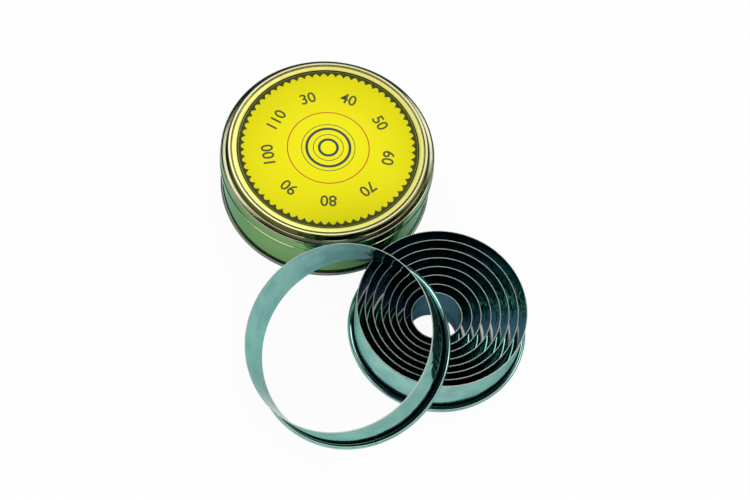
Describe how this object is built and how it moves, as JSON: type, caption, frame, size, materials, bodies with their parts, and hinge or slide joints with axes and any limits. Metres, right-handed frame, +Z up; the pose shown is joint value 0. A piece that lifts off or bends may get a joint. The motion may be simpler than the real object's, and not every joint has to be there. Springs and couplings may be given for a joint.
{
  "type": "biscuit cutter set",
  "caption": "Plain round biscuit cutters with curled rims and sharp edges, nested by size beside a round tin with a slip-on lid, the largest cutter leaning on the nest.",
  "frame": {"origin": "middle of the set's footprint, on the table that the tin and the cutters stand on", "axes": "+Z up out of the table; the front of the set, where the cutters lie, is towards -Y, and the tin stands towards +Y and -X"},
  "size_m": [0.1976, 0.2438, 0.0701],
  "materials": {
    "cutter_steel": "polished stainless strip with fine rolling marks and small scratches",
    "tin_lacquer": "gold-lacquered tinplate, glossy",
    "label_print": "printed and varnished paper, yellow with a dark toothed ring"
  },
  "bodies": {
    "tin": {"tin_body": "tin_lacquer", "tin_base": "tin_lacquer"},
    "lid": {"tin_lid": "tin_lacquer", "lid_label": "label_print"},
    "ring_8": {"cutter_8": "cutter_steel"},
    "ring_7": {"cutter_7": "cutter_steel"},
    "ring_6": {"cutter_6": "cutter_steel"},
    "ring_5": {"cutter_5": "cutter_steel"},
    "ring_4": {"cutter_4": "cutter_steel"},
    "ring_3": {"cutter_3": "cutter_steel"},
    "ring_2": {"cutter_2": "cutter_steel"},
    "ring_1": {"cutter_1": "cutter_steel"},
    "ring_9": {"cutter_9": "cutter_steel"}
  },
  "joints": [
    {"name": "lid_lift", "type": "slide", "parent": "tin", "child": "lid", "axis": [0, 0, 1], "range_m": [0, 0.05]},
    {"name": "cutter_8_lift", "type": "slide", "parent": "tin", "child": "ring_8", "axis": [0, 0, 1], "range_m": [0, 0.045]},
    {"name": "cutter_7_lift", "type": "slide", "parent": "ring_8", "child": "ring_7", "axis": [0, 0, 1], "range_m": [0, 0.045]},
    {"name": "cutter_6_lift", "type": "slide", "parent": "ring_7", "child": "ring_6", "axis": [0, 0, 1], "range_m": [0, 0.045]},
    {"name": "cutter_5_lift", "type": "slide", "parent": "ring_6", "child": "ring_5", "axis": [0, 0, 1], "range_m": [0, 0.045]},
    {"name": "cutter_4_lift", "type": "slide", "parent": "ring_5", "child": "ring_4", "axis": [0, 0, 1], "range_m": [0, 0.045]},
    {"name": "cutter_3_lift", "type": "slide", "parent": "ring_4", "child": "ring_3", "axis": [0, 0, 1], "range_m": [0, 0.045]},
    {"name": "cutter_2_lift", "type": "slide", "parent": "ring_3", "child": "ring_2", "axis": [0, 0, 1], "range_m": [0, 0.045]},
    {"name": "cutter_1_lift", "type": "slide", "parent": "ring_2", "child": "ring_1", "axis": [0, 0, 1], "range_m": [0, 0.045]},
    {"name": "cutter_9_lift", "type": "slide", "parent": "ring_1", "child": "ring_9", "axis": [0, 0, 1], "range_m": [0, 0.05]}
  ]
}
